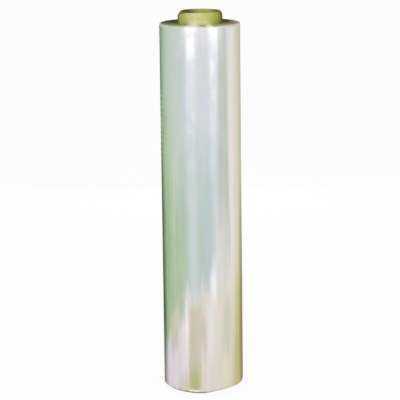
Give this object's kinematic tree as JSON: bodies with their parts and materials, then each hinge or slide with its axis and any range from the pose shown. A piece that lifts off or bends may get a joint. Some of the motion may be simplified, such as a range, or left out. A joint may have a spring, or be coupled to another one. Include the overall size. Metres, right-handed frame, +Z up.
{
  "type": "stretch wrap roll",
  "caption": "Roll of clear stretch film wound on a paperboard tube that stands proud at both ends, standing upright",
  "frame": {"origin": "centre of the tube's lower end face, on which the roll stands", "axes": "+Z up the roll's axis, -Y towards the side that the picture shows, +X to its right"},
  "size_m": [0.1085, 0.1088, 0.52],
  "materials": {
    "film": "pearly pale clear film, glossy, green to olive at the sides",
    "board": "yellow-green kraft board with a spiral seam, matt"
  },
  "bodies": {
    "root": {"core_tube": "board", "film_roll": "film"}
  },
  "joints": []
}
